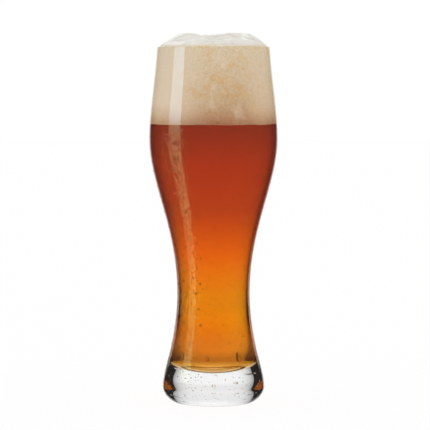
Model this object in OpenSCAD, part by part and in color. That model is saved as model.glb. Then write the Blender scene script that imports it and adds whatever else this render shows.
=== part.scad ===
// Tall wheat beer glass, filled, with its foam head and the water that has condensed on it.
// The glass turns about Z, stands on z = 0, and shows its photographed side to -Y.

/* [Glass outline] */
// Outer diameter at the rim
rim_d = 74.6; // [68:0.2:82]
// Lean of the wall at the rim, outward going down
rim_lean_angle = 4; // [0:0.5:8]
// Height of the lip, from the belly's widest place up to the rim
lip_h = 61; // [45:1:80]
// Outer diameter at the belly, its widest place
belly_d = 85; // [78:0.5:95]
// Height of the bowl, from the waist up to the belly
bowl_h = 102.5; // [80:0.5:125]
// Outer diameter at the waist
waist_d = 48.2; // [42:0.2:56]
// Height of the neck, from the flank up to the waist
neck_h = 39.5; // [30:0.5:50]
// Outer diameter at the flank, where the lower cup spreads fastest
flank_d = 58.4; // [54:0.2:63]
// Lean of the wall at the flank, outward going down
flank_lean_angle = 12.8; // [6:0.2:18]
// Height of the skirt, from the foot's widest place up to the flank
skirt_h = 22.4; // [17:0.2:30]
// Outer diameter at the foot, its widest place
foot_d = 67.6; // [64:0.2:76]
// Height of the heel, from the table up to the foot's widest place
heel_h = 10.6; // [7:0.1:14]
// Outer diameter of the flat ring that the glass stands on
ring_d = 48; // [42:0.5:54]
// Width of the flat ring that the glass stands on
ring_w = 2.5; // [1.5:0.1:4]
// Depth of the hollow under the foot, inside the ring
punt_h = 1.8; // [1:0.1:4]

/* [Glass wall] */
// Wall at the rim, which is fire polished round
rim_wall = 1.8; // [1.4:0.1:2.6]
// Wall at the belly
belly_wall = 2; // [1.5:0.1:3]
// Wall at the waist
waist_wall = 3.4; // [2:0.1:5]
// Wall at the cup, where the cavity is widest below the waist
cup_wall = 4.6; // [3:0.1:6]
// Solid glass under the cavity, from the table up to the middle of the floor
base_h = 18.4; // [13:0.2:24]
// Height over which the cavity's floor rounds up into the cup
floor_rise = 11.6; // [9:0.2:16]

/* [Drink] */
// Depth of the foam below the rim
foam_depth = 51; // [25:1:80]
// Gap that stands for the wetted film between the drink and the glass
drink_gap = 0.05; // [0.02:0.01:0.2]
// Height of the foam's rounded mound above the rim, under its billows
mound_h = 5.5; // [3:0.5:7]
// Height of the tallest billow above the rim
billow_h = 9; // [8:0.5:12]

/* [Condensation] */
// Number of places for small water beads
bead_count = 112; // [40:1:160]
// Diameter of the largest small bead where it wets the glass
bead_d = 1.9; // [1:0.1:2.4]
// Lowest bead above the table
bead_low = 26; // [20:1:50]
// Distance of the highest bead below the belly
bead_top_drop = 5; // [3:1:40]
// Angle about Z where the beads begin, a little behind the left outline
bead_from_angle = 168; // [150:1:180]
// Angle about Z where the beads end, a little left of the front
bead_to_angle = 252; // [230:1:262]
// Diameter of the largest round drop in the patch on the belly
round_drop_d = 2.8; // [2:0.1:3.4]
// Height of the patch of round drops
patch_h = 32; // [24:1:40]
// Width of the patch of round drops, as an angle about Z
patch_turn_angle = 10; // [8:1:24]
// Angle about Z of the middle of that patch
patch_at_angle = 233; // [220:1:245]
// Drop of the patch's upper edge below the belly
patch_drop = 1.5; // [0:0.5:20]
// Width of the largest running drop where it wets the glass
run_d = 3.8; // [2.6:0.1:5]
// Length of the largest running drop, head and tail
run_h = 6.6; // [6:0.1:9]
// Height of the running drops above the table
run_z = 31.5; // [26:0.5:36]
// Angle about Z of the left running drop
run_from_angle = 226; // [210:1:235]
// Width of the row of running drops, as an angle about Z
run_turn_angle = 78; // [50:1:100]
// Film that keeps each bead and drop off the glass
bead_film = 0.02; // [0.01:0.01:0.05]

/* [Hidden] */

// Steps along each stretch of the outline, and round a whole turn
stretch_steps = 16;
turn_steps = 128;
bead_steps = 20;
// Least height between two points of the drink's outline
least_step = 0.1;
// Half the height over which the wall's slope is taken, for what sits on the wall
slope_reach = 1;

// Heights above the table of the places that the sections name
foot_z = heel_h;
flank_z = foot_z + skirt_h;
waist_z = flank_z + neck_h;
belly_z = waist_z + bowl_h;
rim_z = belly_z + lip_h;
cup_z = base_h + floor_rise;
beer_z = rim_z - foam_depth;
rim_round = rim_wall / 2;
lip_z = rim_z - rim_round;

rim_r = rim_d / 2;
belly_r = belly_d / 2;
waist_r = waist_d / 2;
flank_r = flank_d / 2;
foot_r = foot_d / 2;
ring_r = ring_d / 2;
punt_r = ring_r - ring_w;

// How far each curve holds its direction at its two ends, as a share of the stretch's height:
// upper end first, then lower end
lip_shares = [0.40, 0.32];
bowl_shares = [0.29, 0.43];
neck_shares = [0.43, 0.18];
skirt_shares = [0.15, 0.31];
heel_shares = [0.54, 0.37];
cup_shares = [0.45, 0.35];
// Power that flattens the mound's top and steepens its edge
mound_share = 0.62;

// Point at t, from 0 to 1, on the curve of four control points
function curve_point(a, b, c, d, t) =
    pow(1 - t, 3) * a + 3 * pow(1 - t, 2) * t * b + 3 * (1 - t) * t * t * c + pow(t, 3) * d;

// Points of that curve without its first one
function curve(a, b, c, d) =
    [for (i = [1 : stretch_steps]) curve_point(a, b, c, d, i / stretch_steps)];

// Curve down a wall from top to bottom, leaning outward by the two angles at its ends
function wall_curve(top, bottom, shares, top_lean = 0, bottom_lean = 0) =
    let (upper = (top[1] - bottom[1]) * shares[0], lower = (top[1] - bottom[1]) * shares[1])
    curve(
        top,
        top + upper * [tan(top_lean), -1],
        bottom + lower * [-tan(bottom_lean), 1],
        bottom
    );

// Curve from the foot's widest place in under the heel to the flat ring
function heel_curve() =
    curve(
        [foot_r, foot_z],
        [foot_r, foot_z * (1 - heel_shares[0])],
        [ring_r + (foot_r - ring_r) * heel_shares[1], 0],
        [ring_r, 0]
    );

// Outside of the wall from the rim down to the flat ring
outer_wall = concat(
    [[rim_r, lip_z]],
    wall_curve([rim_r, lip_z], [belly_r, belly_z], lip_shares, rim_lean_angle),
    wall_curve([belly_r, belly_z], [waist_r, waist_z], bowl_shares),
    wall_curve([waist_r, waist_z], [flank_r, flank_z], neck_shares, 0, flank_lean_angle),
    wall_curve([flank_r, flank_z], [foot_r, foot_z], skirt_shares, flank_lean_angle, 0),
    heel_curve()
);

// Hollow under the foot, from its edge to its middle
punt = [
    for (i = [0 : stretch_steps])
        let (share = 1 - i / stretch_steps) [punt_r * share, punt_h * (1 - share * share)]
];

// Radius and slope of the outside at a height
outer_table = [for (p = outer_wall) if (p[1] >= foot_z) [p[1], p[0]]];
function outer_r(z) = lookup(z, outer_table);
function outer_slope(z) =
    atan((outer_r(z + slope_reach) - outer_r(z - slope_reach)) / (2 * slope_reach));

// Inside of the glass from the rim down to the middle of the floor, drawn in by a gap
function cavity(gap) =
    let (
        rim = [rim_r - rim_wall - gap, lip_z],
        belly = [belly_r - belly_wall - gap, belly_z],
        waist = [waist_r - waist_wall - gap, waist_z],
        cup = [outer_r(cup_z) - cup_wall - gap, cup_z]
    )
    concat(
        [rim],
        wall_curve(rim, belly, lip_shares, rim_lean_angle),
        wall_curve(belly, waist, bowl_shares),
        wall_curve(waist, cup, cup_shares),
        [
            for (i = [1 : stretch_steps])
                let (turn = 90 * i / stretch_steps)
                [cup[0] * cos(turn), cup_z - (floor_rise - gap) * sin(turn)]
        ]
    );

// Round edge of the rim, from its inside over its top to its outside
rim_edge = [
    for (i = [1 : stretch_steps - 1])
        let (turn = 180 - 180 * i / stretch_steps)
        [rim_r - rim_round + rim_round * cos(turn), lip_z + rim_round * sin(turn)]
];

function upward(points) = [for (i = [len(points) - 1 : -1 : 0]) points[i]];

// Outline of what fills the cavity between two heights, on the right of the axis
drink_wall = upward(cavity(drink_gap));
drink_table = [for (p = drink_wall) [p[1], p[0]]];
function drink_r(z) = lookup(z, drink_table);
function drink_outline(low, high) = [
    for (p = drink_wall)
        if (p[1] > low + least_step && p[1] < high - least_step) p
];

module glass() {
    color([0.86, 0.93, 0.95, 0.35])
        rotate_extrude($fn = turn_steps)
            polygon(concat(upward(cavity(0)), rim_edge, outer_wall, punt));
}

module beer() {
    color([0.80, 0.32, 0.07, 0.9])
        rotate_extrude($fn = turn_steps)
            polygon(concat(
                drink_outline(0, beer_z),
                [[drink_r(beer_z), beer_z], [0, beer_z]]
            ));
}

// Top of the foam: a low mound that fills the rim, with rounded billows on it.
// Each billow is a place across the mound, its top as a share of the tallest, and its radius,
// with the places and the radius as shares of the mound's radius.
billow_shares = [
    [-0.47, -0.06, 1.00, 0.52],
    [-0.13, 0.16, 0.86, 0.50],
    [0.10, -0.08, 0.90, 0.60],
    [0.34, 0.06, 1.00, 0.70],
    [0.55, -0.04, 1.00, 0.42],
    [0.80, 0.02, 0.48, 0.19],
    [-0.16, -0.44, 0.70, 0.40],
    [0.34, -0.46, 0.68, 0.38],
    [-0.34, 0.44, 0.84, 0.44],
    [0.20, 0.48, 0.80, 0.42]
];

module billows() {
    mound_r = drink_r(lip_z);
    for (place = billow_shares) {
        billow_r = mound_r * place[3];
        translate([mound_r * place[0], mound_r * place[1], rim_z + billow_h * place[2] - billow_r])
            sphere(r = billow_r, $fn = turn_steps / 2);
    }
}

module foam_head() {
    mound_r = drink_r(lip_z);
    mound = [
        for (i = [0 : stretch_steps])
            let (turn = 90 - 90 * i / stretch_steps)
            [mound_r * pow(sin(turn), mound_share), lip_z + (rim_round + mound_h) * cos(turn)]
    ];
    color([0.93, 0.86, 0.74]) {
        rotate_extrude($fn = turn_steps)
            polygon(concat(
                [[0, beer_z], [drink_r(beer_z), beer_z]],
                drink_outline(beer_z, lip_z),
                mound
            ));
        billows();
    }
}

// Puts a drop on the outside of the glass with its flat face on the wall
module on_wall(turn, z) {
    rotate([0, 0, turn])
        translate([outer_r(z), 0, z])
            rotate([0, 90 + outer_slope(z), 0])
                translate([0, 0, bead_film])
                    children();
}

// Height of a bead as a share of its radius on the glass
bead_rise_share = 0.4;

// Water bead of a given radius where it wets the glass: the cap of a ball
module bead(wet_r) {
    rise = wet_r * bead_rise_share;
    ball_r = (wet_r * wet_r + rise * rise) / (2 * rise);
    rotate_extrude($fn = bead_steps)
        intersection() {
            translate([0, rise - ball_r])
                circle(r = ball_r, $fn = turn_steps / 2);
            square(ball_r);
        }
}

// Round drops in their patch: the place across it, the place down it and the size, as shares
round_drop_shares = [
    [0.09, 0.00, 0.95],
    [-0.10, 0.31, 1.00],
    [0.34, 0.32, 0.72],
    [-0.40, 0.40, 0.45],
    [0.02, 0.43, 0.72],
    [-0.44, 0.53, 0.95],
    [0.26, 0.60, 0.90],
    [0.03, 0.71, 0.62],
    [-0.28, 1.00, 0.60]
];
// Running drops from left to right: the place along their row and the size, as shares
run_shares = [[0, 0.75], [0.46, 0.62], [1, 1.00]];

// Angle about Z, height and reach of each round drop and each running drop
round_drop_places = [
    for (share = round_drop_shares)
        [
            patch_at_angle + patch_turn_angle * share[0],
            belly_z - patch_drop - patch_h * share[1],
            round_drop_d / 2 * share[2]
        ]
];
run_places = [
    for (share = run_shares)
        [run_from_angle + run_turn_angle * share[0], run_z, run_h * share[1]]
];

// Room along the wall from a bead's middle to the edge of a larger drop
function room(turn, z, place) =
    norm([outer_r(z) * (turn - place[0]) * PI / 180, z - place[1]]) - place[2];
function is_clear(turn, z) =
    min([for (place = concat(round_drop_places, run_places)) room(turn, z, place)]) > bead_d / 2;

// Steps of the even scatter, which never line up
turn_step_share = 0.618034;
size_step_share = 0.754878;
least_bead_share = 0.5;
function part_of(x) = x - floor(x);

module condensation_beads() {
    high = belly_z - bead_top_drop;
    color([0.90, 0.95, 0.98, 0.6])
        for (i = [0 : bead_count - 1]) {
            turn = bead_from_angle
                + (bead_to_angle - bead_from_angle) * part_of(i * turn_step_share);
            z = bead_low + (high - bead_low) * (i + 0.5) / bead_count;
            size_share = least_bead_share + (1 - least_bead_share) * part_of(i * size_step_share);
            if (is_clear(turn, z))
                on_wall(turn, z)
                    bead(bead_d / 2 * size_share);
        }
}

module round_drops() {
    color([0.90, 0.95, 0.98, 0.6])
        for (place = round_drop_places)
            on_wall(place[0], place[1])
                bead(place[2]);
}

// Drop that runs down the wall: a round head below and a tail that thins out above it.
// It starts inside the wall, which then cuts its wet side.
module running_drop(wet_r, length) {
    rise = wet_r * bead_rise_share;
    head_r = (wet_r * wet_r + rise * rise) / (2 * rise);
    sink = head_r - rise;
    tail = (length - wet_r) / sqrt(1 - sink / head_r);
    head_points = [
        for (i = [0 : stretch_steps])
            let (turn = -90 + 90 * i / stretch_steps)
            [head_r * cos(turn), head_r * sin(turn)]
    ];
    tail_points = [
        for (i = [1 : stretch_steps])
            let (t = i / stretch_steps)
            [head_r * (1 - t * t), tail * t]
    ];
    translate([0, 0, -sink])
        rotate([0, -90, 0])
            rotate_extrude($fn = 3 * bead_steps)
                polygon(concat(head_points, tail_points));
}

// The wall behind the running drops, from well below them to well above, with the film on it
module wetted_wall() {
    low = run_z - 2 * run_h;
    high = run_z + 2 * run_h;
    rotate_extrude($fn = 4 * turn_steps)
        polygon(concat(
            [[0, low], [0, high], [outer_r(high) + bead_film, high]],
            [for (p = outer_wall) if (p[1] > low && p[1] < high) [p[0] + bead_film, p[1]]],
            [[outer_r(low) + bead_film, low]]
        ));
}

module running_drops() {
    color([0.90, 0.95, 0.98, 0.6])
        difference() {
            for (place = run_places)
                on_wall(place[0], place[1])
                    running_drop(run_d / 2 * place[2] / run_h, place[2]);
            wetted_wall();
        }
}

glass();
beer();
foam_head();
condensation_beads();
round_drops();
running_drops();
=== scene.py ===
"""A full wheat beer glass with its foam head and the water that has condensed on it."""

import math
import random

import bmesh
import bpy
from bpy.props import FloatProperty, FloatVectorProperty, IntProperty, PointerProperty
from mathutils import Matrix, Vector, noise
from mathutils.geometry import interpolate_bezier


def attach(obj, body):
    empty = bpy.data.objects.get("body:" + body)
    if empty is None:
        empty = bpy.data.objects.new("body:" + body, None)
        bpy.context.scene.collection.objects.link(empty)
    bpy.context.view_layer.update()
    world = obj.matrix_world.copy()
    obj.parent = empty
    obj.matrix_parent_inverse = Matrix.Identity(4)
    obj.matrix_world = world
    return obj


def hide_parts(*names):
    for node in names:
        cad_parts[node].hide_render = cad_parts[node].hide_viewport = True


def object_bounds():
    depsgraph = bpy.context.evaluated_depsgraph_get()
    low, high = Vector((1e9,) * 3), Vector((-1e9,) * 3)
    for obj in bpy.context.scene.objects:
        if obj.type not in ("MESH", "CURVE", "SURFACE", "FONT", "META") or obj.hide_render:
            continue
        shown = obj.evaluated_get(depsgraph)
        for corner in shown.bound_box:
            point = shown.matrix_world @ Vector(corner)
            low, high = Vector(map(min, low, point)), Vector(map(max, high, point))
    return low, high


bl_info = {
    "name": "Full Weizen Glass",
    "version": (1, 0, 0),
    "blender": (4, 5, 0),
    "location": "View3D > Sidebar > Weizen Glass",
    "description": "Builds a full wheat beer glass, its foam head, its condensation and its stage",
    "category": "Add Mesh",
}

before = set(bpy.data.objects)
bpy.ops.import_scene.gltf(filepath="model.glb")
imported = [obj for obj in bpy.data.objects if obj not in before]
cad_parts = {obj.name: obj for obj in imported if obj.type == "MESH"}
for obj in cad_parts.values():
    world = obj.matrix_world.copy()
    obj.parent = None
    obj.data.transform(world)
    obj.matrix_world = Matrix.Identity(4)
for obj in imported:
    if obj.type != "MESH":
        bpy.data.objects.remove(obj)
CAD_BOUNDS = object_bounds()

MM = 0.001
BACK = math.pi / 2
FRONT = -math.pi / 2
# Steps of a full turn, and of each stretch of an outline
TURN_STEPS = 256
STRETCH_STEPS = 28


def length(name, default, description):
    """A length in metres that a user can change."""
    return FloatProperty(
        name=name, description=description, default=default, min=0.0, precision=5, unit="LENGTH"
    )


def angle(name, degrees, description):
    """An angle that a user can change, first stated in degrees."""
    return FloatProperty(
        name=name, description=description, default=math.radians(degrees), unit="ROTATION"
    )


def share(name, default, description):
    """A share from 0 to 1."""
    return FloatProperty(name=name, description=description, default=default, min=0.0, max=1.0)


def colour(name, default, description):
    """A colour in linear light."""
    return FloatVectorProperty(
        name=name, description=description, default=default, size=3, min=0.0, max=1.0, subtype="COLOR"
    )


class GlassSizes(bpy.types.PropertyGroup):
    """Outline and wall of the glass, as the frame has them."""

    rim_d: length("Rim", 74.6 * MM, "Outer diameter at the rim")
    rim_lean: angle("Rim Lean", 4, "Lean of the wall at the rim, outward going down")
    lip_h: length("Lip Height", 61 * MM, "Height from the belly up to the rim")
    belly_d: length("Belly", 85 * MM, "Outer diameter at the belly")
    bowl_h: length("Bowl Height", 102.5 * MM, "Height from the waist up to the belly")
    waist_d: length("Waist", 48.2 * MM, "Outer diameter at the waist")
    neck_h: length("Neck Height", 39.5 * MM, "Height from the flank up to the waist")
    flank_d: length("Flank", 58.4 * MM, "Outer diameter where the lower cup spreads fastest")
    flank_lean: angle("Flank Lean", 12.8, "Lean of the wall at the flank, outward going down")
    skirt_h: length("Skirt Height", 22.4 * MM, "Height from the foot's widest place up to the flank")
    foot_d: length("Foot", 67.6 * MM, "Outer diameter at the foot's widest place")
    heel_h: length("Heel Height", 10.6 * MM, "Height from the table up to the foot's widest place")
    ring_d: length("Standing Ring", 48 * MM, "Outer diameter of the flat ring that the glass stands on")
    ring_w: length("Ring Width", 2.5 * MM, "Width of the flat ring")
    punt_h: length("Punt", 1.8 * MM, "Depth of the hollow under the foot")
    rim_wall: length("Rim Wall", 1.8 * MM, "Wall at the fire polished rim")
    belly_wall: length("Belly Wall", 2 * MM, "Wall at the belly")
    waist_wall: length("Waist Wall", 3.4 * MM, "Wall at the waist")
    cup_wall: length("Cup Wall", 4.6 * MM, "Wall where the cavity is widest below the waist")
    base_h: length("Base", 18.4 * MM, "Solid glass from the table up to the middle of the floor")
    floor_rise: length("Floor Rise", 11.6 * MM, "Height over which the floor rounds up into the cup")


class DrinkSizes(bpy.types.PropertyGroup):
    """Levels of the drink and the form of its foam."""

    foam_depth: length("Foam Depth", 51 * MM, "Depth of the foam below the rim")
    mound_h: length("Mound", 5.5 * MM, "Height of the foam's mound above the rim")
    billow_h: length("Billow", 9 * MM, "Height of the tallest billow above the rim")
    billow_blend: length("Billow Blend", 1.6 * MM, "How softly the billows run together")
    ripple: length("Ripple", 0.25 * MM, "Height of the small ripples on the foam's top")
    fold: length("Fold", 0.9 * MM, "Depth of the creases between the foam's folds")
    wetting: length("Wetting", 0.12 * MM, "How far the drink reaches into the wall, so that no air shows")
    line_wander: length("Line Wander", 0.35 * MM, "How far the foam's lower edge wanders up and down")


class WaterSizes(bpy.types.PropertyGroup):
    """Water that has condensed on the outside."""

    bead_count: IntProperty(name="Beads", description="Places for the larger beads", default=112, min=1)
    bead_d: length("Bead", 1.9 * MM, "Diameter of the largest of the larger beads")
    bead_low: length("Lowest Bead", 26 * MM, "Height of the lowest larger bead above the table")
    bead_top_drop: length("Bead Top Drop", 5 * MM, "Distance of the highest larger bead below the belly")
    bead_from: angle("Beads From", 168, "Angle where the larger beads begin")
    bead_to: angle("Beads To", 252, "Angle where the larger beads end")
    round_drop_d: length("Round Drop", 2.8 * MM, "Diameter of the largest round drop on the belly")
    patch_h: length("Patch Height", 32 * MM, "Height of the patch of round drops")
    patch_turn: angle("Patch Width", 10, "Width of the patch of round drops")
    patch_at: angle("Patch At", 233, "Angle of the middle of that patch")
    patch_drop: length("Patch Drop", 1.5 * MM, "Drop of the patch's upper edge below the belly")
    run_d: length("Running Drop", 3.8 * MM, "Width of the largest running drop")
    run_h: length("Running Drop Length", 6.6 * MM, "Length of the largest running drop")
    run_z: length("Running Drop Height", 31.5 * MM, "Height of the running drops above the table")
    run_from: angle("Drops From", 226, "Angle of the left running drop")
    run_turn: angle("Drops Width", 78, "Width of the row of running drops")
    rise: share("Rise", 0.24, "Height of a drop as a share of its radius")
    run_rise: share("Running Rise", 0.28, "Height of a running drop as a share of its half width")
    fine_rise: share("Fine Rise", 0.18, "Height of a fine bead as a share of its radius")
    fine_d: length("Fine Bead", 1.0 * MM, "Diameter of the largest fine bead")
    fine_gap: length("Fine Gap", 1.7 * MM, "Least distance between fine beads where they are dense")
    thin: share("Thin Water", 0.58, "How much a bead changes what is seen through it")
    full: share("Full Water", 0.62, "How much a running drop changes what is seen through it")
    sink: length("Sink", 0.06 * MM, "How far a drop's flat side lies inside the wall")


class Finishes(bpy.types.PropertyGroup):
    """Colours of the materials."""

    glass: colour("Glass", (0.995, 0.998, 0.996), "Tint of the clear glass")
    foam_tan: colour("Foam Tan", (1.0, 0.85, 0.64), "Tint of the coarser, wetter patches of the foam")
    foam_speck: colour("Foam Speck", (0.96, 0.74, 0.50), "Tint of the small specks in the foam")
    grain: colour("Foam Grain", (0.86, 0.80, 0.72), "Tint of the gaps between the foam's bubbles")
    foam_crown: colour("Foam Crown", (0.83, 0.80, 0.73), "Dry foam on top")
    # Painted highlight patches on the crown's dry foam
    foam_highlight: colour("Foam White", (0.96, 0.95, 0.91), "Brightest dry foam on top")
    # Painted shade in the creases of the crown
    foam_crease_shade: colour("Foam Crease", (0.62, 0.58, 0.49), "Creases in the dry foam")


class StageSizes(bpy.types.PropertyGroup):
    """Camera, floor and studio cards."""

    eye_distance: length("Eye Distance", 1.566, "Distance of the eye from the axis of the glass")
    eye_height: length("Eye Height", 0.2202, "Height of the eye above the table")
    eye_side: length("Eye Side", 0.0010, "Distance of the eye to the right of the axis")
    eye_tilt: angle("Eye Tilt", 3.495, "How far the eye looks down")
    lens: FloatProperty(name="Lens", description="Focal length in millimetres", default=198.1)
    card_r: length("Card Distance", 0.26, "Distance of the dark cards from the axis")
    card_h: length("Card Height", 0.75, "Height of the dark cards")
    window: angle("Window", 35, "Half the width of the bright window behind the glass")
    window_fall: share("Window Fall", 0.74, "How much the window dims towards its sides")
    foot_dim: share("Foot Dimming", 0.10, "How much the window dims behind the foot")
    strip_r: length("Strip Distance", 0.17, "Distance of the strip light from the axis")
    strip_at: angle("Strip At", 66, "Angle of the strip light to the left of the eye")
    strip_turn: angle("Strip Width", 24, "Width of the strip light")
    strip_h: length("Strip Height", 0.40, "Height of the strip light")
    strip_power: FloatProperty(name="Strip Strength", description="Strength of the strip light", default=2.6)
    side_low: length("Side Card Low", 0.020, "Lower edge of the cards that brighten the glass's edges")
    side_high: length("Side Card High", 0.064, "Upper edge of those cards")
    side_r: length("Side Card Distance", 0.2496, "Distance of those cards from the axis")
    side_right: angle("Right Card", 9, "Width of the card on the right")
    side_left: angle("Left Card", 9, "Width of the card on the left")
    side_power: FloatProperty(name="Side Strength", description="Strength of those cards", default=1.15)
    strip_low: colour("Lower Strip", (0.75, 1.0, 0.42), "Colour of the strip light below the foam")
    strip_high: colour("Upper Strip", (0.46, 0.76, 1.0), "Colour of the strip light beside the foam")


class Value:
    """A shader socket that can be used in Python sums."""

    def __init__(self, finish, socket):
        self.finish = finish
        self.socket = socket

    def sum(self, operation, *others):
        return self.finish.node("ShaderNodeMath", {"operation": operation}, *others)

    def __add__(self, other):
        return self.sum("ADD", self, other)

    def __sub__(self, other):
        return self.sum("SUBTRACT", self, other)

    def __rsub__(self, other):
        return self.sum("SUBTRACT", other, self)

    def __mul__(self, other):
        return self.sum("MULTIPLY", self, other)

    def __truediv__(self, other):
        return self.sum("DIVIDE", self, other)

    __radd__ = __add__
    __rmul__ = __mul__

    def between(self, low, high):
        """0 below low, 1 above high and a smooth rise from one to the other."""
        settings = {"interpolation_type": "SMOOTHSTEP"}
        return self.finish.node("ShaderNodeMapRange", settings, self, low, high, 0.0, 1.0)

    def mix(self, first, second):
        """The first colour where this value is 0 and the second where it is 1."""
        return self.finish.node(
            "ShaderNodeMix",
            {"data_type": "RGBA", "blend_type": "MIX"},
            output="Result_Color",
            Factor_Float=self,
            A_Color=first,
            B_Color=second,
        )


class Finish:
    """A node material, or the world's nodes, built one node at a time."""

    def __init__(self, owner):
        owner.use_nodes = True
        self.owner = owner
        self.tree = owner.node_tree
        self.tree.nodes.clear()

    def node(self, kind, settings=None, *inputs, output=0, **named):
        """Adds a node, sets it up, joins or fills its inputs and returns one output as a Value."""
        node = self.tree.nodes.new(kind)
        for key, value in (settings or {}).items():
            setattr(node, key, value)
        for place, value in list(enumerate(inputs)) + list(named.items()):
            self.feed(self.socket(node.inputs, place), value)
        return Value(self, self.socket(node.outputs, output))

    def socket(self, sockets, place):
        """A socket by its number, its name with _ for a space, or its identifier."""
        if isinstance(place, int):
            return sockets[place]
        for socket in sockets:
            if place in (socket.identifier, socket.name.replace(" ", "_")):
                return socket
        raise KeyError(place)

    def feed(self, socket, value):
        if isinstance(value, Value):
            self.tree.links.new(value.socket, socket)
        elif isinstance(value, (int, float)):
            socket.default_value = value
        else:
            numbers = list(value)
            wanted = len(socket.default_value)
            socket.default_value = numbers + [1.0] * (wanted - len(numbers))

    def times(self, first, second):
        """One colour multiplied by another."""
        settings = {"data_type": "RGBA", "blend_type": "MULTIPLY"}
        return self.node(
            "ShaderNodeMix", settings, output="Result_Color", Factor_Float=1.0, A_Color=first, B_Color=second
        )

    def ramp(self, value, stops):
        """Colours that run from stop to stop as a value rises."""
        tint = stops[0][1]
        for (low, _), (high, following) in zip(stops, stops[1:]):
            part = self.node("ShaderNodeMapRange", {}, value, low, high, 0.0, 1.0)
            tint = part.mix(tint, following)
        return tint

    def place(self):
        """The object's own coordinates and their three parts."""
        where = self.node("ShaderNodeTexCoord", output="Object")
        x, y, z = (self.node("ShaderNodeSeparateXYZ", {}, where, output=i) for i in range(3))
        return where, x, y, z

    def ray(self, kind):
        """1 for one kind of ray and 0 for the others."""
        return self.node("ShaderNodeLightPath", output=kind)

    def surface(self, shader, volume=None):
        """Ends the tree with its output and returns what it belongs to."""
        in_world = isinstance(self.owner, bpy.types.World)
        name = "ShaderNodeOutputWorld" if in_world else "ShaderNodeOutputMaterial"
        links = {"Surface": shader}
        if volume:
            links["Volume"] = volume
        self.node_without_output(name, links)
        return self.owner

    def node_without_output(self, kind, links):
        node = self.tree.nodes.new(kind)
        for name, value in links.items():
            self.feed(node.inputs[name], value)


def new_material(name):
    return Finish(bpy.data.materials.new(name))


def curve(top, upper, lower, bottom):
    """Points of a curve with four control points, without its first."""
    flat = [Vector((r, 0, z)) for r, z in (top, upper, lower, bottom)]
    return [(p.x, p.z) for p in interpolate_bezier(*flat, STRETCH_STEPS + 1)][1:]


def wall_curve(top, bottom, shares, top_lean=0.0, bottom_lean=0.0):
    """Curve down a wall, leaning outward by the two angles at its ends."""
    height = top[1] - bottom[1]
    upper, lower = height * shares[0], height * shares[1]
    return curve(
        top,
        (top[0] + upper * math.tan(top_lean), top[1] - upper),
        (bottom[0] - lower * math.tan(bottom_lean), bottom[1] + lower),
        bottom,
    )


def lookup(points, z):
    """Radius at a height on an outline that runs up or down."""
    points = sorted(points, key=lambda p: p[1])
    if z <= points[0][1]:
        return points[0][0]
    for (r0, z0), (r1, z1) in zip(points, points[1:]):
        if z <= z1:
            return r0 + (r1 - r0) * (z - z0) / max(z1 - z0, 1e-9)
    return points[-1][0]


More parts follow.
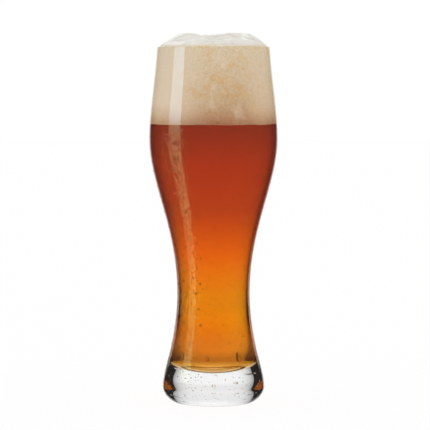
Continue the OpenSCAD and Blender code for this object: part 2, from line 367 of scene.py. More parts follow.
class Outline:
    """The outside and the inside of the glass, worked out from its sizes."""

    # Shares of a stretch's height at which its curve's two control points stand off its ends
    LIP = (0.40, 0.32)
    BOWL = (0.29, 0.43)
    NECK = (0.43, 0.18)
    SKIRT = (0.15, 0.31)
    HEEL = (0.54, 0.37)
    CUP = (0.45, 0.35)

    def __init__(self, sizes):
        self.sizes = sizes
        self.foot_z = sizes.heel_h
        self.flank_z = self.foot_z + sizes.skirt_h
        self.waist_z = self.flank_z + sizes.neck_h
        self.belly_z = self.waist_z + sizes.bowl_h
        self.rim_z = self.belly_z + sizes.lip_h
        self.cup_z = sizes.base_h + sizes.floor_rise
        self.rim_round = sizes.rim_wall / 2
        self.lip_z = self.rim_z - self.rim_round
        self.outer = self.outer_wall()
        self.above_foot = sorted((p for p in self.outer if p[1] >= self.foot_z), key=lambda p: p[1])

    def outer_wall(self):
        """From the rim down to the flat ring."""
        s = self.sizes
        rim = (s.rim_d / 2, self.lip_z)
        belly = (s.belly_d / 2, self.belly_z)
        waist = (s.waist_d / 2, self.waist_z)
        flank = (s.flank_d / 2, self.flank_z)
        foot = (s.foot_d / 2, self.foot_z)
        ring = (s.ring_d / 2, 0.0)
        heel = curve(
            foot,
            (foot[0], foot[1] * (1 - self.HEEL[0])),
            (ring[0] + (foot[0] - ring[0]) * self.HEEL[1], 0.0),
            ring,
        )
        return (
            [rim]
            + wall_curve(rim, belly, self.LIP, s.rim_lean)
            + wall_curve(belly, waist, self.BOWL)
            + wall_curve(waist, flank, self.NECK, 0.0, s.flank_lean)
            + wall_curve(flank, foot, self.SKIRT, s.flank_lean, 0.0)
            + heel
        )

    def cavity(self, grow=0.0):
        """Inside of the glass from the rim down to the middle of the floor, grown into the wall."""
        s = self.sizes
        rim = (s.rim_d / 2 - s.rim_wall + grow, self.lip_z)
        belly = (s.belly_d / 2 - s.belly_wall + grow, self.belly_z)
        waist = (s.waist_d / 2 - s.waist_wall + grow, self.waist_z)
        cup = (lookup(self.above_foot, self.cup_z) - s.cup_wall + grow, self.cup_z)
        turns = [math.pi / 2 * i / STRETCH_STEPS for i in range(1, STRETCH_STEPS + 1)]
        floor = [
            (cup[0] * math.cos(turn), self.cup_z - (s.floor_rise + grow) * math.sin(turn))
            for turn in turns
        ]
        return (
            [rim]
            + wall_curve(rim, belly, self.LIP, s.rim_lean)
            + wall_curve(belly, waist, self.BOWL)
            + wall_curve(waist, cup, self.CUP)
            + floor
        )

    def rim_edge(self):
        """Round edge of the rim, from its inside over its top to its outside."""
        steps = STRETCH_STEPS // 2
        middle = self.sizes.rim_d / 2 - self.rim_round
        turns = [math.pi * (1 - i / steps) for i in range(1, steps)]
        return [
            (middle + self.rim_round * math.cos(turn), self.lip_z + self.rim_round * math.sin(turn))
            for turn in turns
        ]

    def punt(self):
        """Hollow under the foot, from its edge to its middle."""
        s = self.sizes
        edge = s.ring_d / 2 - s.ring_w
        shares = [1 - i / STRETCH_STEPS for i in range(STRETCH_STEPS + 1)]
        return [(edge * part, s.punt_h * (1 - part * part)) for part in shares]

    def whole(self):
        """Closed outline of the glass, from the middle of its floor round to the middle of its punt."""
        return self.cavity()[::-1] + self.rim_edge() + self.outer + self.punt()

    def on_wall(self, turn, z, lift=0.0):
        """Place and stance of something that sits on the outside: its own +Z points out of the wall."""
        reach = 1 * MM
        slope = (lookup(self.above_foot, z + reach) - lookup(self.above_foot, z - reach)) / (2 * reach)
        return (
            Matrix.Rotation(turn, 4, "Z")
            @ Matrix.Translation((lookup(self.above_foot, z), 0, z))
            @ Matrix.Rotation(math.pi / 2 + math.atan(slope), 4, "Y")
            @ Matrix.Translation((0, 0, lift))
        )


def clean_up(bm):
    """Closes seams and poles, and turns every face outward."""
    bmesh.ops.remove_doubles(bm, verts=bm.verts, dist=0.001 * MM)
    bmesh.ops.dissolve_degenerate(bm, edges=bm.edges, dist=0.001 * MM)
    bmesh.ops.recalc_face_normals(bm, faces=bm.faces)


def make_piece(bm, name, material, slot, *nodes):
    """Turns a bmesh into a smooth piece of the glass that stands for CAD nodes."""
    mesh = bpy.data.meshes.new(name)
    bm.to_mesh(mesh)
    bm.free()
    mesh.shade_smooth()
    mesh.materials.append(material)
    piece = bpy.data.objects.new(name, mesh)
    bpy.context.scene.collection.objects.link(piece)
    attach(piece, "root")
    if nodes:
        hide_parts(*nodes)
    return piece


def turned(points, steps=TURN_STEPS):
    """A bmesh of an outline turned once round Z."""
    bm = bmesh.new()
    verts = [bm.verts.new((r, 0, z)) for r, z in points]
    edges = [bm.edges.new(pair) for pair in zip(verts, verts[1:])]
    bmesh.ops.spin(
        bm, geom=verts + edges, cent=(0, 0, 0), axis=(0, 0, 1), angle=math.tau, steps=steps, use_merge=True
    )
    clean_up(bm)
    return bm


def let_light_in(finish, shader):
    """Lets soft light pass straight through a clear piece, to reach what stands behind it."""
    clear = finish.node("ShaderNodeBsdfTransparent")
    return finish.node("ShaderNodeMixShader", {}, finish.ray("Is Diffuse Ray"), shader, clear)


# Angles in degrees between which the misted part of the glass begins and ends, on the left
MIST_BEGINS = (-160, -146)
MIST_ENDS = (-122, -104)


def glass_material(colours, outline):
    """Clear glass with a slight wave, a smear here and there and fine mist on its left."""
    finish = new_material("blown_clear_glass")
    where, x, y, z = finish.place()
    wave = finish.node("ShaderNodeTexNoise", {}, Vector=where, Scale=30.0, Detail=1.0)
    droplets = finish.node("ShaderNodeTexVoronoi", {}, Vector=where, Scale=920.0)
    patches = finish.node("ShaderNodeTexNoise", {}, Vector=where, Scale=330.0, Detail=2.0)
    turn = finish.node("ShaderNodeMath", {"operation": "ARCTAN2"}, y, x)
    begins, ends = (turn.between(*map(math.radians, edge)) for edge in (MIST_BEGINS, MIST_ENDS))
    left = begins * (1.0 - ends)
    tall = z.between(26 * MM, 40 * MM) * (1.0 - z.between(outline.belly_z, outline.belly_z + 12 * MM))
    mist = (1.0 - droplets.between(0.0, 0.50)) * patches.between(0.30, 0.47) * left * tall
    bump = finish.node("ShaderNodeBump", {}, Strength=1.0, Distance=0.1 * MM, Height=wave * 0.15 + mist * 2.0)
    smear = finish.node("ShaderNodeTexNoise", {}, Vector=where, Scale=90.0, Detail=4.0)
    shader = finish.node(
        "ShaderNodeBsdfPrincipled",
        {},
        Base_Color=colours.glass,
        Roughness=smear.between(0.55, 0.8) * 0.03,
        IOR=1.5,
        Transmission_Weight=1.0,
        Normal=bump,
    )
    depth = finish.node("ShaderNodeVolumeAbsorption", {}, Color=(0.30, 0.34, 0.32), Density=2.2)
    return finish.surface(let_light_in(finish, shader), depth)


# Tints of the beer's surface, which carry painted light and shade: pale at the floor and darkening upward
# into a painted shadow under the foam; and colours of the yeast in it, each by its height above the table
BEER_TINTS_LIGHT_AND_SHADE = (
    (18.5 * MM, (1.00, 1.00, 1.00)),
    (21 * MM, (0.86, 0.42, 0.03)),
    (38 * MM, (0.94, 0.41, 0.05)),
    (70 * MM, (1.00, 0.50, 0.055)),
    (100 * MM, (0.98, 0.26, 0.05)),
    (120 * MM, (0.80, 0.155, 0.05)),
    (160 * MM, (0.50, 0.08, 0.065)),
    (184 * MM, (0.22, 0.05, 0.067)),
)
YEAST_TINTS = (
    (29 * MM, (0.34, 0.19, 0.07)),
    (37 * MM, (0.79, 0.30, 0.06)),
    (70 * MM, (0.85, 0.27, 0.02)),
    (100 * MM, (0.70, 0.20, 0.02)),
    (130 * MM, (0.40, 0.09, 0.035)),
    (160 * MM, (0.50, 0.09, 0.04)),
    (184 * MM, (0.46, 0.08, 0.045)),
)


def beer_material():
    """Clear amber that darkens with depth, with cloudy yeast, most of it low down. Its surface tint also
    darkens with height as painted light and shade, brighter low down and darkest under the foam, with a
    painted golden glow on the right of the lower cup.
    """
    finish = new_material("cloudy_amber_beer")
    where, x, y, z = finish.place()
    haze = finish.node("ShaderNodeTexNoise", {}, Vector=where, Scale=22.0, Detail=2.0)
    height = z + (haze - 0.5) * (8 * MM)
    # Painted glow: the right of the lower cup is tinted a brighter gold, as if more light came through the
    # beer there.
    low_cup = z.between(24 * MM, 36 * MM) * (1.0 - z.between(50 * MM, 68 * MM))
    painted_golden_glow = x.between(-2 * MM, 16 * MM) * low_cup
    shader = finish.node(
        "ShaderNodeBsdfPrincipled",
        {},
        Base_Color=painted_golden_glow.mix(finish.ramp(height, BEER_TINTS_LIGHT_AND_SHADE), (0.96, 0.52, 0.05)),
        Roughness=0.0,
        IOR=1.34,
        Specular_IOR_Level=0.0,
        Transmission_Weight=1.0,
    )
    yeast = finish.node("ShaderNodeBsdfDiffuse", {}, Color=finish.ramp(height, YEAST_TINTS))
    waist = z.between(36 * MM, 56 * MM) * (1.0 - z.between(88 * MM, 135 * MM))
    cup = z.between(40 * MM, 95 * MM)
    settled = z.between(27 * MM, 33 * MM) * (1.0 - z.between(42 * MM, 62 * MM))
    clouds = 0.05 + z.between(23 * MM, 40 * MM) * (0.05 + cup * 0.20 - waist * 0.14) + settled * 0.12
    cloudy = finish.node("ShaderNodeMixShader", {}, clouds, shader, yeast)
    depth = finish.node("ShaderNodeVolumeAbsorption", {}, Color=(0.99, 0.82, 0.30), Density=75.0)
    return finish.surface(let_light_in(finish, cloudy), depth)


# Colours of the foam by its height above the table, darker and browner from the rim down to the beer; the
# pale ones serve its random pale patches and the painted highlight on its left and right sides
FOAM_PALE_AND_HIGHLIGHT_TINTS = (
    (186 * MM, (0.58, 0.36, 0.22)),
    (190 * MM, (0.72, 0.52, 0.35)),
    (194 * MM, (0.81, 0.63, 0.46)),
    (199 * MM, (0.86, 0.71, 0.54)),
    (234 * MM, (0.84, 0.72, 0.55)),
)
FOAM_TINTS = (
    (185 * MM, (0.43, 0.19, 0.10)),
    (189 * MM, (0.51, 0.28, 0.16)),
    (194 * MM, (0.60, 0.39, 0.23)),
    (204 * MM, (0.69, 0.50, 0.31)),
    (217 * MM, (0.76, 0.59, 0.40)),
    (234 * MM, (0.81, 0.67, 0.47)),
)


def foam_material(colours, outline):
    """Foam that is tan and mottled against the glass, wet and darker towards the beer and white on top. Its
    left and right sides are painted paler as a highlight, and its crown has painted highlight patches and
    painted shade in its creases.
    """
    finish = new_material("whipped_beer_foam")
    where, x, y, z = finish.place()
    broad = finish.node("ShaderNodeTexNoise", {}, Vector=where, Scale=110.0, Detail=4.0, Roughness=0.65)
    other = finish.node(
        "ShaderNodeTexNoise", {"noise_dimensions": "4D"}, Vector=where, W=3.0, Scale=90.0, Detail=4.0
    )
    fine = finish.node("ShaderNodeTexNoise", {}, Vector=where, Scale=620.0, Detail=3.0, Roughness=0.7)
    cells = finish.node("ShaderNodeTexVoronoi", {}, Vector=where, Scale=1500.0)
    specks = finish.node("ShaderNodeTexVoronoi", {}, Vector=where, Scale=560.0)
    height = z + (broad - 0.5) * (9 * MM)
    # Painted highlight: the foam is paler towards its left and right sides, most on the left, and shows less
    # mottling and grain there.
    across = x + (broad - 0.5) * (14 * MM)
    left = 1.0 - across.between(-30 * MM, 2 * MM)
    right = across.between(16 * MM, 32 * MM) * 0.55
    middle = 1.0 - left - right
    pale = finish.ramp(height, FOAM_PALE_AND_HIGHLIGHT_TINTS)
    column = (left + right).mix(finish.ramp(height, FOAM_TINTS), pale)
    patches = broad.between(0.48, 0.66) * (middle * 0.6 + 0.2)
    column = patches.mix(column, finish.times(column, colours.foam_tan))
    column = (other.between(0.52, 0.72) * 0.6).mix(column, pale)
    spots = (1.0 - specks.between(0.10, 0.32)) * broad.between(0.38, 0.55) * (middle * 0.75 + 0.1)
    column = spots.mix(column, finish.times(column, colours.foam_speck))
    crown = z.between(outline.rim_z - 1 * MM, outline.rim_z + 2 * MM)
    # Painted shade: the crease depth that sinks the mesh also darkens the crown's creases below
    folds = finish.node("ShaderNodeAttribute", {"attribute_name": "crease"}, output="Fac")
    # The crown's dry foam, with random painted highlight patches
    dry = (other.between(0.48, 0.60) * 0.8).mix(colours.foam_crown, colours.foam_highlight)
    dry = (folds * 0.7).mix(dry, colours.foam_crease_shade)
    plain = crown.mix(column, dry)
    grain = ((fine - 0.5) * 1.6 + (cells - 0.4) * 0.5).between(-0.5, 0.5)
    grain = (middle * 0.6 + 0.4) * (grain - 0.6) + 0.6
    deep = crown.mix(colours.grain, (0.93, 0.93, 0.92))
    tint = finish.times(plain, grain.mix(deep, (1.0, 1.0, 1.0)))
    bump = finish.node("ShaderNodeBump", {}, Strength=0.4, Distance=0.1 * MM, Height=cells + fine)
    wet = (1.0 - crown) * 0.65
    shader = finish.node(
        "ShaderNodeBsdfPrincipled",
        {},
        Base_Color=tint,
        Roughness=0.75 - wet,
        Normal=bump,
        Specular_IOR_Level=0.9,
    )
    return finish.surface(shader)


def water_material(name, alpha):
    """Water that changes only a share of what is seen through it, made once for each name."""
    made = bpy.data.materials.get(name)
    if made:
        return made
    finish = new_material(name)
    shader = finish.node(
        "ShaderNodeBsdfPrincipled",
        {},
        Base_Color=(1.0, 0.84, 0.68),
        Roughness=0.0,
        IOR=1.333,
        Transmission_Weight=1.0,
        Alpha=alpha,
    )
    return finish.surface(let_light_in(finish, shader))


# Points from the mound's edge to its middle, and how flat its top is, flatter when smaller
MOUND_STEPS = 64
MOUND_FLATNESS = 0.62
# Billows of the foam's top: place across the mound, top as a share of the tallest, and radius,
# with the places and the radius as shares of the mound's radius
BILLOWS = (
    (-0.47, -0.06, 1.00, 0.52),
    (-0.13, 0.16, 0.86, 0.50),
    (0.10, -0.08, 0.90, 0.60),
    (0.34, 0.06, 1.00, 0.70),
    (0.55, -0.04, 1.00, 0.42),
    (0.80, 0.02, 0.48, 0.19),
    (-0.16, -0.44, 0.70, 0.40),
    (0.34, -0.46, 0.68, 0.38),
    (-0.34, 0.44, 0.84, 0.44),
    (0.20, 0.48, 0.80, 0.42),
)


def soft_max(first, second, blend):
    """The larger of two heights, rounded off where they meet."""
    h = max(blend - abs(first - second), 0.0) / blend
    return max(first, second) + h * h * blend / 4


def crown_height(x, y, mound_z, outline, drink, mound_r):
    """Height of the foam's top over a place on the mound."""
    z = mound_z
    for place_x, place_y, top, radius in BILLOWS:
        ball_r = mound_r * radius
        ball_z = outline.rim_z + drink.billow_h * top - ball_r
        off = math.hypot(x - mound_r * place_x, y - mound_r * place_y)
        if off < ball_r:
            z = soft_max(z, ball_z + math.sqrt(ball_r * ball_r - off * off), drink.billow_blend)
    return z


def crease(x, y):
    """Depth of the whipped foam's creases at a place, from 0 on a fold to 1 in a crease."""
    drift = noise.noise(Vector((x, y, 0.02)) * 45)
    depth = 0.0
    for stretch, layer, width in ((Vector((38, 95)), 5, 0.16), (Vector((70, 150)), 9, 0.13)):
        line = noise.noise(Vector((x * stretch.x, y * stretch.y, layer + 1.6 * drift)))
        there = noise.noise(Vector((x * 60, y * 60, layer + 20)))
        fades = min(1.0, max(0.0, 0.5 + 2.2 * there))
        depth = max(depth, fades * max(0.0, 1 - abs(line) / width) ** 1.5)
    return depth


def foam_outline(outline, drink):
    """From the middle of the foam's underside out, up the wall and in over the mound."""
    beer_z = outline.rim_z - drink.foam_depth
    wall = outline.cavity(drink.wetting)
    sides = [p for p in wall[::-1] if p[1] > beer_z]
    edge_r = lookup(wall, beer_z)
    under = [(edge_r * i / 8, beer_z) for i in range(9)]
    mound_r = sides[-1][0]
    mound = []
    for i in range(1, MOUND_STEPS + 1):
        turn = math.pi / 2 * (1 - i / MOUND_STEPS)
        height = (outline.rim_round + drink.mound_h) * math.cos(turn)
        mound.append((mound_r * math.sin(turn) ** MOUND_FLATNESS, outline.lip_z + height))
    return under + sides + mound


class AddGlass(bpy.types.Operator):
    """Adds the blown glass: wall, waist and solid foot in one piece"""

    bl_idname = "weizen.add_glass"
    bl_label = "Add Glass"

    def execute(self, context):
        outline = Outline(context.scene.glass_sizes)
        bm = turned(outline.whole())
        make_piece(bm, "blown_glass", glass_material(context.scene.finishes, outline), "clear_glass", "glass")
        return {"FINISHED"}


class AddBeer(bpy.types.Operator):
    """Adds the beer, which wets the glass up to the foam"""

    bl_idname = "weizen.add_beer"
    bl_label = "Add Beer"

    def execute(self, context):
        outline = Outline(context.scene.glass_sizes)
        drink = context.scene.drink_sizes
        level = outline.rim_z - drink.foam_depth + 2 * drink.line_wander
        wall = outline.cavity(drink.wetting * 0.6)
        below = [p for p in wall[::-1] if p[1] < level]
        points = below + [(lookup(wall, level), level), (0, level)]
        bm = turned(points)
        make_piece(bm, "amber_beer", beer_material(), "amber_beer", "beer")
        return {"FINISHED"}


class AddFoam(bpy.types.Operator):
    """Adds the foam head, a column in the lip with billows above the rim"""

    bl_idname = "weizen.add_foam"
    bl_label = "Add Foam"

    def execute(self, context):
        outline = Outline(context.scene.glass_sizes)
        drink = context.scene.drink_sizes
        bm = turned(foam_outline(outline, drink))
        mound_r = outline.cavity(drink.wetting)[0][0]
        beer_z = outline.rim_z - drink.foam_depth
        # The crease depth is also kept on the mesh, where the foam material paints shade into the creases
        creases = bm.verts.layers.float.new("crease")
        for vert in bm.verts:
            x, y, z = vert.co
            if z > outline.lip_z + 0.01 * MM:
                vert[creases] = crease(x, y)
                z = crown_height(x, y, z, outline, drink, mound_r)
                fade = min(1.0, (z - outline.lip_z) / (3 * MM))
                ripple = noise.fractal(Vector((x, y, z)) * 160, 0.9, 2.0, 4) * drink.ripple
                top = outline.rim_z + drink.billow_h
                vert.co.z = min(z + fade * (ripple - drink.fold * vert[creases]), top)
            elif z < beer_z + 0.01 * MM:
                wander = noise.noise(Vector((x, y, 0)) * 60) + 0.4 * noise.noise(Vector((x, y, 1)) * 260)
                vert.co.z = z + drink.line_wander * wander
        make_piece(bm, "foam_crown", foam_material(context.scene.finishes, outline), "beer_foam", "foam_head")
        return {"FINISHED"}


def cap_geometry(bm, rise, sink, u_steps=10, v_steps=8):
    """A drop of radius 1 with its flat side on z = 0, as verts, edges and faces."""
    ball_r = (1 + rise * rise) / (2 * rise)
    made = bmesh.ops.create_uvsphere(bm, u_segments=u_steps, v_segments=v_steps * 2, radius=ball_r)
    verts = made["verts"]
    bmesh.ops.translate(bm, verts=verts, vec=(0, 0, rise - ball_r))
    edges = list({e for v in verts for e in v.link_edges})
    faces = list({f for v in verts for f in v.link_faces})
    cut = bmesh.ops.bisect_plane(
        bm,
        geom=verts + edges + faces,
        plane_co=(0, 0, -sink),
        plane_no=(0, 0, 1),
        clear_inner=True,
        dist=1e-5,
    )
    rim = [e for e in cut["geom_cut"] if isinstance(e, bmesh.types.BMEdge)]
    bmesh.ops.holes_fill(bm, edges=rim, sides=u_steps + 2)


def scatter(drops, outline, water, rise, u_steps=10, v_steps=8, chunk=120):
    """A bmesh of many drops. Each has its angle, its height, its radius, its stretch and its spin."""
    template = bmesh.new()
    cap_geometry(template, rise, water.sink / (water.bead_d / 2), u_steps, v_steps)
    cap = bpy.data.meshes.new("cap")
    template.to_mesh(cap)
    template.free()
    whole = bmesh.new()
    for start in range(0, len(drops), chunk):
        part = bmesh.new()
        for turn, z, radius, stretch, spin in drops[start : start + chunk]:
            before = len(part.verts)
            part.from_mesh(cap)
            part.verts.ensure_lookup_table()
            stance = (
                outline.on_wall(turn, z)
                @ Matrix.Rotation(spin, 4, "Z")
                @ Matrix.Diagonal((radius * stretch, radius / stretch, radius, 1))
            )
            bmesh.ops.transform(part, matrix=stance, verts=part.verts[before:])
        made = bpy.data.meshes.new("chunk")
        part.to_mesh(made)
        part.free()
        whole.from_mesh(made)
        bpy.data.meshes.remove(made)
    bpy.data.meshes.remove(cap)
    bmesh.ops.recalc_face_normals(whole, faces=whole.faces)
    return whole


# Round drops in their patch: place across it, place down it and size, as shares
ROUND_DROPS = (
    (0.09, 0.00, 0.95),
    (-0.10, 0.31, 1.00),
    (0.34, 0.32, 0.72),
    (-0.40, 0.40, 0.45),
    (0.02, 0.43, 0.72),
    (-0.44, 0.53, 0.95),
    (0.26, 0.60, 0.90),
    (0.03, 0.71, 0.62),
    (-0.28, 1.00, 0.60),
)
# Running drops from left to right: the place along their row and the size, as shares
RUNNING_DROPS = ((0.00, 0.75), (0.46, 0.62), (1.00, 1.00))


def round_places(outline, water):
    """Angle, height and radius of each round drop."""
    top = outline.belly_z - water.patch_drop
    radius = water.round_drop_d / 2
    return [
        (water.patch_at + water.patch_turn * across, top - water.patch_h * down, radius * size)
        for across, down, size in ROUND_DROPS
    ]


def run_places(water):
    """Angle, height and reach of each running drop."""
    return [
        (water.run_from + water.run_turn * along, water.run_z, water.run_h * size)
        for along, size in RUNNING_DROPS
    ]


def room(outline, turn, z, places):
    """Room along the wall from a place to the nearest edge of some drops."""
    r = lookup(outline.above_foot, z)
    gaps = (math.hypot(r * (turn - other[0]), z - other[1]) - other[2] for other in places)
    return min(gaps, default=math.inf)


# Steps from bead to bead in angle and in size, which never fall into rows
TURN_STEP = 0.618034
SIZE_STEP = 0.754878
# Tries for a place of a fine bead, and the seed of their scatter
FINE_TRIES = 9000
SEED = 11


def part_of(x):
    """The part of a number after its point."""
    return x - math.floor(x)


def bead_places(outline, water):
    """Angle, height and radius of each larger bead, in the even scatter of the frame."""
    high = outline.belly_z - water.bead_top_drop
    taken = round_places(outline, water) + run_places(water)
    beads = []
    for i in range(water.bead_count):
        turn = water.bead_from + (water.bead_to - water.bead_from) * part_of(i * TURN_STEP)
        z = water.bead_low + (high - water.bead_low) * (i + 0.5) / water.bead_count
        radius = water.bead_d / 2 * (0.5 + 0.5 * part_of(i * SIZE_STEP))
        if room(outline, turn, z, taken) > water.bead_d / 2:
            beads.append((turn, z, radius))
    return beads


class AddBeads(bpy.types.Operator):
    """Adds the small water beads, dense on the left and sparse elsewhere"""

    bl_idname = "weizen.add_beads"
    bl_label = "Add Beads"

    def execute(self, context):
        outline = Outline(context.scene.glass_sizes)
        water = context.scene.water_sizes
        chance = random.Random(SEED)
        beads = [
            (turn, z, radius, chance.uniform(0.9, 1.12), chance.uniform(0, math.pi))
            for turn, z, radius in bead_places(outline, water)
        ]
        thin = water_material("thin_water", water.thin)
        bm = scatter(beads, outline, water, water.rise, 14, 10)
        make_piece(bm, "larger_beads", thin, "water", "condensation_beads")

        taken = [bead[:3] for bead in beads] + round_places(outline, water) + run_places(water)
        fine = []
        for _ in range(FINE_TRIES):
            z = chance.uniform(6 * MM, outline.belly_z + 2 * MM)
            turn = math.radians(chance.uniform(90, 450))
            gap = water.fine_gap * self.thinning(math.degrees(turn) % 360, z)
            radius = water.fine_d / 2 * chance.uniform(0.35, 1.0)
            near = [p for p in taken if abs(p[1] - z) < gap + p[2]]
            if room(outline, turn, z, near) < radius + gap * 0.45:
                continue
            top = outline.on_wall(turn, z) @ Vector((0, 0, radius * water.fine_rise))
            if not all(low < at < high for low, at, high in zip(CAD_BOUNDS[0], top, CAD_BOUNDS[1])):
                continue
            taken.append((turn, z, radius))
            fine.append((turn, z, radius, chance.uniform(0.85, 1.18), chance.uniform(0, math.pi)))
        bm = scatter(fine, outline, water, water.fine_rise, 8, 6)
        make_piece(bm, "fine_beads", thin, "water")
        return {"FINISHED"}

    def thinning(self, degrees, z):
        """How much farther apart the fine beads are than in their densest part, on the left."""
        if z < 24 * MM:
            return 1.2 if 234 < degrees < 258 else 3.5
        if 158 < degrees < 246:
            return 1.0
        if 246 <= degrees < 286 and 60 * MM < z < 118 * MM:
            return 2.0
        return 5.0


class AddDrops(bpy.types.Operator):
    """Adds the larger round drops on the belly and the drops that run down"""

    bl_idname = "weizen.add_drops"
    bl_label = "Add Drops"

    def execute(self, context):
        outline = Outline(context.scene.glass_sizes)
        water = context.scene.water_sizes
        drops = [(*place, 1.0, 0.0) for place in round_places(outline, water)]
        bm = scatter(drops, outline, water, water.rise, 32, 20)
        make_piece(bm, "belly_drops", water_material("thin_water", water.thin), "water", "round_drops")
        whole = bmesh.new()
        for turn, z, reach in run_places(water):
            part = self.running_drop(water, water.run_d / 2 * reach / water.run_h, reach)
            bmesh.ops.transform(part, matrix=outline.on_wall(turn, z), verts=part.verts)
            mesh = bpy.data.meshes.new("drop")
            part.to_mesh(mesh)
            part.free()
            whole.from_mesh(mesh)
            bpy.data.meshes.remove(mesh)
        make_piece(whole, "run_drops", water_material("full_water", water.full), "water", "running_drops")
        return {"FINISHED"}

    def running_drop(self, water, wet_r, reach):
        """A drop with its round end low and a longer tail up the wall."""
        bm = bmesh.new()
        cap_geometry(bm, water.run_rise, water.sink / wet_r, 48, 36)
        bmesh.ops.scale(bm, verts=bm.verts, vec=(wet_r, wet_r, wet_r))
        upper = [vert for vert in bm.verts if vert.co.x < 0]
        bmesh.ops.scale(bm, verts=upper, vec=((reach - wet_r) / wet_r, 1, 1))
        bmesh.ops.recalc_face_normals(bm, faces=bm.faces)
        return bm


def floor_material():
    """White to the eye with a faint shadow, pale to the light, and clear to the rays that glass bends."""
    finish = new_material("pale_floor")
    pale = finish.node("ShaderNodeBsdfDiffuse", {}, Color=(0.95, 0.95, 0.95))
    white = finish.node("ShaderNodeEmission", {}, Color=(1.0, 1.0, 1.0), Strength=1.0)
    clear = finish.node("ShaderNodeBsdfTransparent")
    floor = finish.node("ShaderNodeMixShader", {}, finish.ray("Is Camera Ray") * 0.88, pale, white)
    bent = finish.ray("Is Glossy Ray") + finish.ray("Is Transmission Ray")
    finish.owner.cycles.emission_sampling = "NONE"
    return finish.surface(finish.node("ShaderNodeMixShader", {}, bent, floor, clear))


def card_material():
    """Dark card that glass reflects and refracts, and that light on matt surfaces passes."""
    finish = new_material("dark_card")
    dark = finish.node("ShaderNodeEmission", {}, Color=(0.022, 0.020, 0.018), Strength=1.0)
    clear = finish.node("ShaderNodeBsdfTransparent")
    spread = finish.ray("Diffuse Depth").between(0.4, 0.6)
    finish.owner.cycles.emission_sampling = "NONE"
    return finish.surface(finish.node("ShaderNodeMixShader", {}, spread, dark, clear))


# Heights in metres above the table over which the light of a card changes
FOOT_DIMS = (0.004, 0.030)
FOOT_CLEARS = (0.046, 0.085)
TABLE_CLEARS = (-0.14, -0.06)
STRIP_BEGINS = (0.034, 0.044)
STRIP_COOLS = (0.188, 0.202)
SIDE_EDGE = 0.018


def window_material(stage):
    """Bright window behind the glass, dimmer to its sides, low down and behind the foot."""
    finish = new_material("window_card")
    where, x, y, z = finish.place()
    aside = (x * x / (x * x + y * y)) / math.sin(stage.window) ** 2
    foot = z.between(*FOOT_DIMS) * (1.0 - z.between(*FOOT_CLEARS))
    table = 0.7 + z.between(*TABLE_CLEARS) * 0.3
    light = (1.08 - aside * aside * stage.window_fall) * (1.0 - foot * stage.foot_dim) * table
    bright = finish.node("ShaderNodeEmission", {}, Color=(1.0, 1.0, 1.0), Strength=light)
    clear = finish.node("ShaderNodeBsdfTransparent")
    spread = finish.ray("Diffuse Depth").between(0.4, 0.6)
    finish.owner.cycles.emission_sampling = "NONE"
    return finish.surface(finish.node("ShaderNodeMixShader", {}, spread, bright, clear))


def strip_material(stage):
    """Strip light that is brighter on the side near the eye, with a cooler upper part."""
    finish = new_material("strip_light")
    where, x, y, z = finish.place()
    turn = finish.node("ShaderNodeMath", {"operation": "ARCTAN2"}, y, x)
    middle = FRONT - stage.strip_at
    near = turn.between(middle - 0.5 * stage.strip_turn, middle + 0.4 * stage.strip_turn)
    upper = z.between(*STRIP_COOLS)
    tint = upper.mix(stage.strip_low, stage.strip_high)
    power = z.between(*STRIP_BEGINS) * (0.70 + near * 0.36) * (1.0 + upper * 0.82) * stage.strip_power
    glow = finish.node("ShaderNodeEmission", {}, Color=tint, Strength=power)
    finish.owner.cycles.emission_sampling = "NONE"
    return finish.surface(glow)


def side_material(stage):
    """Soft card beside the window, which brightens the edges of the lower cup and the waist."""
    finish = new_material("side_light")
    where, x, y, z = finish.place()
    rising = z.between(stage.side_low, stage.side_low + SIDE_EDGE)
    soft = rising * (1.0 - z.between(stage.side_high - SIDE_EDGE, stage.side_high))
    glow = finish.node("ShaderNodeEmission", {}, Color=(1.0, 0.85, 0.67), Strength=soft * stage.side_power)
    finish.owner.cycles.emission_sampling = "NONE"
    return finish.surface(glow)


def bent_card(name, radius, low, high, start, stop, material):
    """Upright card bent round the axis, seen only by the rays that glass bends or reflects."""
    bm = bmesh.new()
    verts = [bm.verts.new((radius, 0, z)) for z in (low, high)]
    edges = [bm.edges.new(verts)]
    bmesh.ops.rotate(bm, verts=verts, cent=(0, 0, 0), matrix=Matrix.Rotation(start, 3, "Z"))
    bmesh.ops.spin(
        bm, geom=verts + edges, cent=(0, 0, 0), axis=(0, 0, 1), angle=stop - start, steps=48, use_merge=False
    )
    mesh = bpy.data.meshes.new(name)
    bm.to_mesh(mesh)
    bm.free()
    mesh.materials.append(material)
    card = bpy.data.objects.new(name, mesh)
    bpy.context.scene.collection.objects.link(card)
    card.visible_camera = card.visible_diffuse = card.visible_shadow = card.visible_volume_scatter = False
    return card


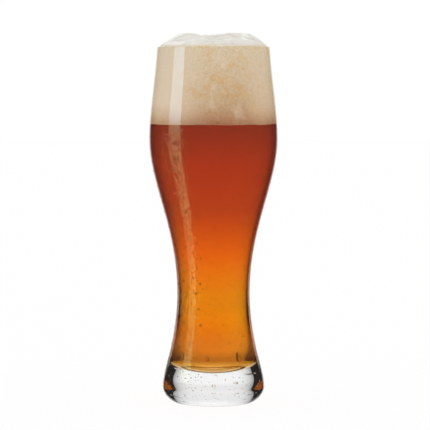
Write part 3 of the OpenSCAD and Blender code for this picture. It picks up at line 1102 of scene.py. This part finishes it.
class AddStage(bpy.types.Operator):
    """Adds the camera, the floor, the soft light and the studio cards"""

    bl_idname = "weizen.add_stage"
    bl_label = "Add Stage"

    def execute(self, context):
        stage = context.scene.stage_sizes
        eye = self.add_camera(context, stage)
        self.add_floor(context)
        self.add_world(context)
        left, right = BACK + stage.window, BACK - stage.window
        tall = (stage.card_r, -stage.card_h, stage.card_h)
        curtain = bent_card("curtain", *tall, left, right + math.tau, card_material())
        window = bent_card("window", *tall, right, left, window_material(stage))
        half = stage.strip_turn / 2
        middle = FRONT - stage.strip_at
        upright = (stage.strip_r, -stage.strip_h, stage.strip_h)
        strip = bent_card("strip_light", *upright, middle - half, middle + half, strip_material(stage))
        small = (stage.side_r, stage.side_low, stage.side_high)
        side = side_material(stage)
        right_card = bent_card("right_card", *small, right - stage.side_right, right, side)
        left_card = bent_card("left_card", *small, left, left + stage.side_left, side)
        for card in (strip, right_card, left_card):
            card.visible_transmission = False
        for card in (curtain, window, strip, right_card, left_card):
            card.parent = eye
            card.matrix_parent_inverse = eye.matrix_world.inverted()
        return {"FINISHED"}

    def add_camera(self, context, stage):
        data = bpy.data.cameras.new("eye")
        data.lens = stage.lens
        eye = bpy.data.objects.new("eye", data)
        context.scene.collection.objects.link(eye)
        eye.location = (stage.eye_side, -stage.eye_distance, stage.eye_height)
        eye.rotation_euler = (math.pi / 2 - stage.eye_tilt, 0, 0)
        context.scene.camera = eye
        context.view_layer.update()
        return eye

    def add_floor(self, context):
        bm = bmesh.new()
        bmesh.ops.create_circle(bm, cap_ends=True, segments=96, radius=6.0)
        mesh = bpy.data.meshes.new("floor")
        bm.to_mesh(mesh)
        bm.free()
        mesh.materials.append(floor_material())
        floor = bpy.data.objects.new("floor", mesh)
        context.scene.collection.objects.link(floor)

    def add_world(self, context):
        world = bpy.data.worlds.new("studio")
        context.scene.world = world
        finish = Finish(world)
        finish.surface(finish.node("ShaderNodeBackground", {}, Color=(1.0, 1.0, 1.0), Strength=1.0))
        world.cycles.sampling_method = "NONE"
        context.scene.view_settings.view_transform = "Standard"


class WeizenPanel(bpy.types.Panel):
    """Lists the pieces that can be added"""

    bl_idname = "VIEW3D_PT_weizen_glass"
    bl_label = "Weizen Glass"
    bl_space_type = "VIEW_3D"
    bl_region_type = "UI"
    bl_category = "Weizen Glass"

    def draw(self, context):
        for operator in OPERATORS:
            self.layout.operator(operator.bl_idname)


OPERATORS = (AddStage, AddGlass, AddBeer, AddFoam, AddBeads, AddDrops)
GROUPS = {
    "glass_sizes": GlassSizes,
    "drink_sizes": DrinkSizes,
    "water_sizes": WaterSizes,
    "finishes": Finishes,
    "stage_sizes": StageSizes,
}


def register():
    for cls in (*GROUPS.values(), *OPERATORS, WeizenPanel):
        bpy.utils.register_class(cls)
    for name, group in GROUPS.items():
        setattr(bpy.types.Scene, name, PointerProperty(type=group))


def unregister():
    for name in GROUPS:
        delattr(bpy.types.Scene, name)
    for cls in (WeizenPanel, *reversed(OPERATORS), *GROUPS.values()):
        bpy.utils.unregister_class(cls)


def main():
    register()
    for operator in OPERATORS:
        group, name = operator.bl_idname.split(".")
        getattr(getattr(bpy.ops, group), name)()


if __name__ == "__main__":
    main()
